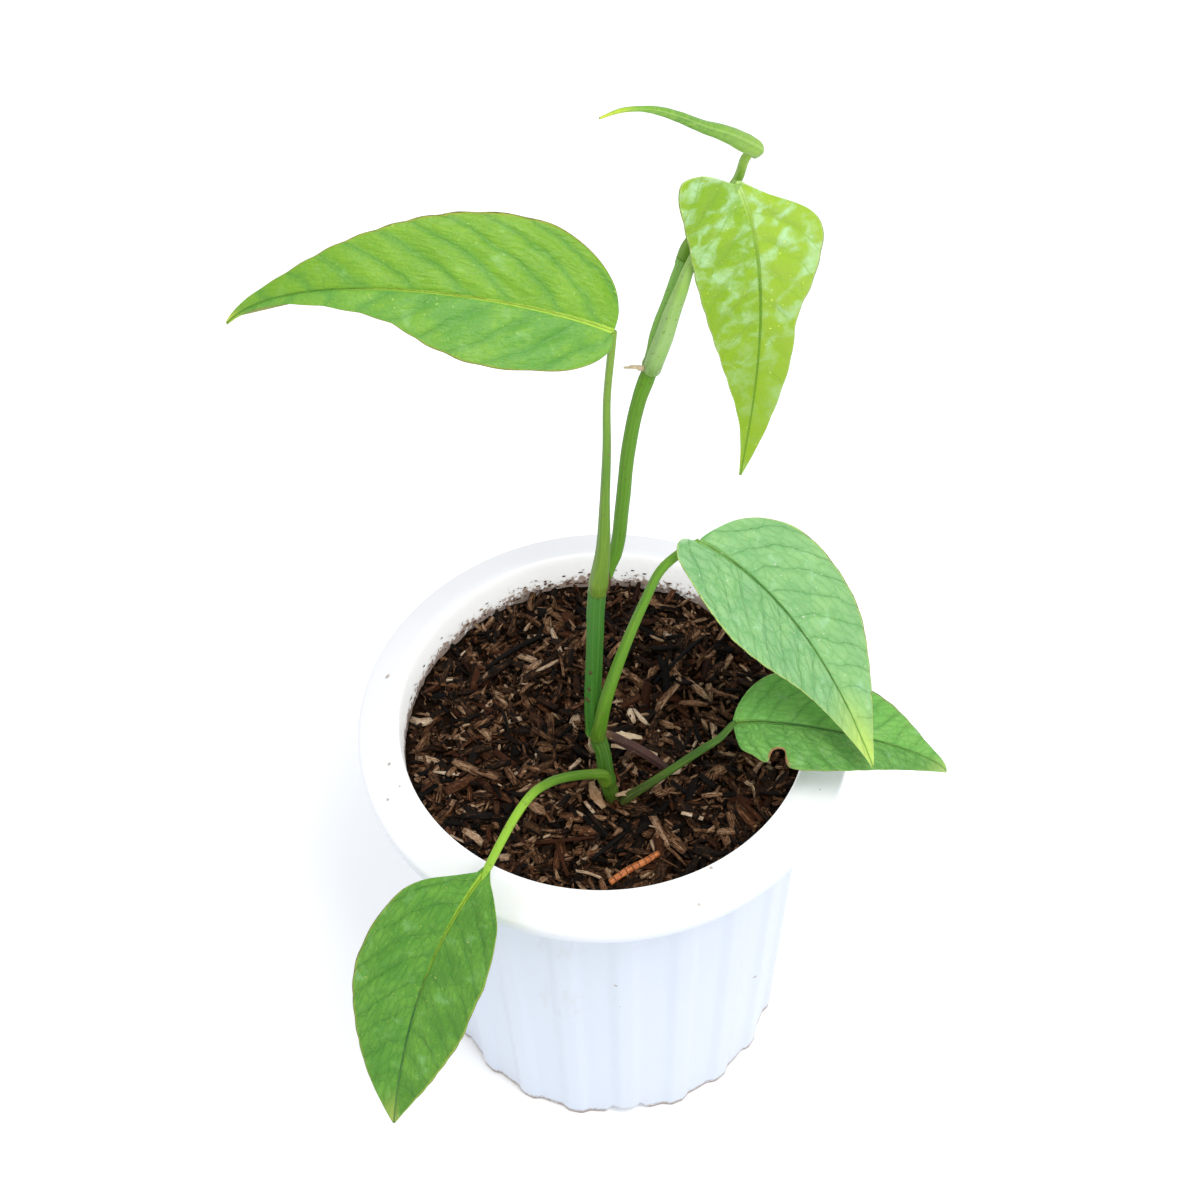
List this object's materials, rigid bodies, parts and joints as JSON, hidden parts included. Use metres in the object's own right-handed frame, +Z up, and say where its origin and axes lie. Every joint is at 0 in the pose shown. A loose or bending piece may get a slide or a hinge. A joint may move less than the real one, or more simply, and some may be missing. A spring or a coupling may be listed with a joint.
{
  "type": "potted cebu blue pothos",
  "caption": "Young climbing aroid with long blue-green leaves on a short upright vine, rooted in bark mix in a fluted white plastic pot with a rolled flange.",
  "frame": {"origin": "centre of the pot's foot, on the surface the pot stands on", "axes": "+Z up out of the pot, -Y towards the front, where the lowest big leaf hangs over the rim, +X to the right seen from the front"},
  "size_m": [0.2144, 0.1984, 0.4379],
  "materials": {
    "pot_plastic": "satin",
    "bark_mix": "matte",
    "vine": "satin",
    "leaf_stalk": "satin",
    "leaf_deep": "satin",
    "leaf_silver": "satin",
    "leaf_mid": "satin",
    "leaf_young": "satin",
    "leaf_new": "satin",
    "dry_stalk": "matte"
  },
  "bodies": {
    "root": {"pot": "pot_plastic", "potting_mix": "bark_mix", "vine_stem": "vine", "leaf_stalk_1": "leaf_stalk", "leaf_stalk_2": "leaf_stalk", "leaf_stalk_3": "leaf_stalk", "leaf_stalk_4": "leaf_stalk", "leaf_stalk_5": "leaf_stalk", "leaf_stalk_6": "leaf_stalk", "leaf_1": "leaf_deep", "leaf_2": "leaf_deep", "leaf_3": "leaf_silver", "leaf_4": "leaf_mid", "leaf_5": "leaf_young", "leaf_6_rolled": "leaf_new", "withered_stalk": "dry_stalk"}
  },
  "joints": []
}
